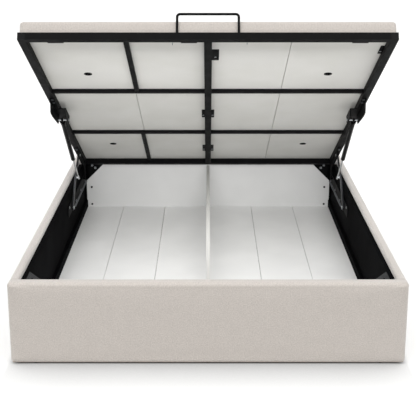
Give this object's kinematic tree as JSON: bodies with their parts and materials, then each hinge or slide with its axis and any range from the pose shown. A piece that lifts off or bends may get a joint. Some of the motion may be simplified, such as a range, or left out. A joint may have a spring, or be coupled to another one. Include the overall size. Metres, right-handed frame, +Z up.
{
  "type": "ottoman storage bed",
  "caption": "Low upholstered box bed without headboard, whose padded platform lifts on levers and gas struts over a divided storage space.",
  "frame": {"origin": "on the floor under the middle of the bed", "axes": "+Z up, the foot end faces -Y, +X is the right side seen from the foot"},
  "size_m": [1.6, 2.118, 1.3845],
  "materials": {
    "rail_fabric": "woven boucle upholstery",
    "platform_fabric": "woven boucle upholstery",
    "rail_board": "raw particle board",
    "black_board": "matt black foil",
    "white_board": "satin white melamine",
    "lid_white_board": "satin white melamine",
    "foam": "open cell foam and wadding",
    "black_steel": "black powder coat",
    "grey_steel": "dark grey coated steel",
    "black_cylinder": "gloss black lacquer",
    "chrome_rod": "hard chrome plate",
    "zinc": "bright zinc plate",
    "black_plastic": "moulded"
  },
  "bodies": {
    "base": {"box_bolts": "zinc", "centre_divider": "white_board", "floor_bearers": "rail_board", "floor_board_1": "white_board", "floor_board_2": "white_board", "floor_board_3": "white_board", "floor_board_4": "white_board", "floor_board_5": "white_board", "floor_board_6": "white_board", "floor_side_battens": "black_board", "foot_lining": "black_board", "foot_rail_core": "rail_board", "foot_rail_cover": "rail_fabric", "front_corner_plates": "grey_steel", "glide_feet": "black_plastic", "head_lining": "black_board", "head_rail_core": "rail_board", "head_rail_cover": "rail_fabric", "left_base_plate": "black_steel", "left_lining": "black_board", "left_rail_core": "rail_board", "left_rail_cover": "rail_fabric", "lever_pivot_bolts": "zinc", "rear_board": "white_board", "rear_board_screws": "black_steel", "rear_corner_plates": "black_steel", "right_base_plate": "black_steel", "right_lining": "black_board", "right_rail_core": "rail_board", "right_rail_cover": "rail_fabric"},
    "levers": {"left_lever": "grey_steel", "right_lever": "grey_steel", "lever_pins": "zinc"},
    "lid": {"front_tube": "black_steel", "rear_tube": "black_steel", "left_side_tube": "black_steel", "right_side_tube": "black_steel", "tube_end_caps": "black_plastic", "centre_bar": "black_steel", "cross_tubes": "black_steel", "short_bars": "black_steel", "lid_board_left_outer": "lid_white_board", "lid_board_left_inner": "lid_white_board", "lid_board_right_inner": "lid_white_board", "lid_board_right_outer": "lid_white_board", "vent_rims": "black_plastic", "board_clips": "black_steel", "lid_screws": "zinc", "platform_pad": "foam", "platform_cover": "platform_fabric", "mattress_bar": "black_steel", "left_hinge_plate": "black_steel", "right_hinge_plate": "black_steel", "strut_brackets": "black_steel", "lid_bolts": "zinc", "strut_pins": "zinc"},
    "strut_cylinders": {"strut_cylinders": "black_cylinder"},
    "strut_rods": {"strut_rods": "chrome_rod", "strut_ball_studs": "zinc"}
  },
  "joints": [
    {"name": "lever_swing", "type": "hinge", "parent": "base", "child": "levers", "pos_m": [0, 0.35867, 0.224], "axis": [1, 0, 0], "range_deg": [-22.82, 0]},
    {"name": "lid_lift", "type": "hinge", "parent": "levers", "child": "lid", "pos_m": [0, 0.65204, 0.44294], "axis": [1, 0, 0], "range_deg": [0, 51.72]},
    {"name": "strut_swing", "type": "hinge", "parent": "lid", "child": "strut_cylinders", "pos_m": [0, 0.01241, 0.78233], "axis": [1, 0, 0], "range_deg": [0, 10.93]},
    {"name": "strut_slide", "type": "slide", "parent": "strut_cylinders", "child": "strut_rods", "axis": [0, 0.7493, -0.6622], "range_m": [-0.10364, 0]}
  ],
  "couplings": [
    {"joint": "lever_swing", "follows": "lid_lift", "ratio": -0.44126},
    {"joint": "strut_swing", "follows": "lid_lift", "ratio": 0.21126},
    {"joint": "strut_slide", "follows": "lid_lift", "m_per_rad": -0.11481}
  ]
}
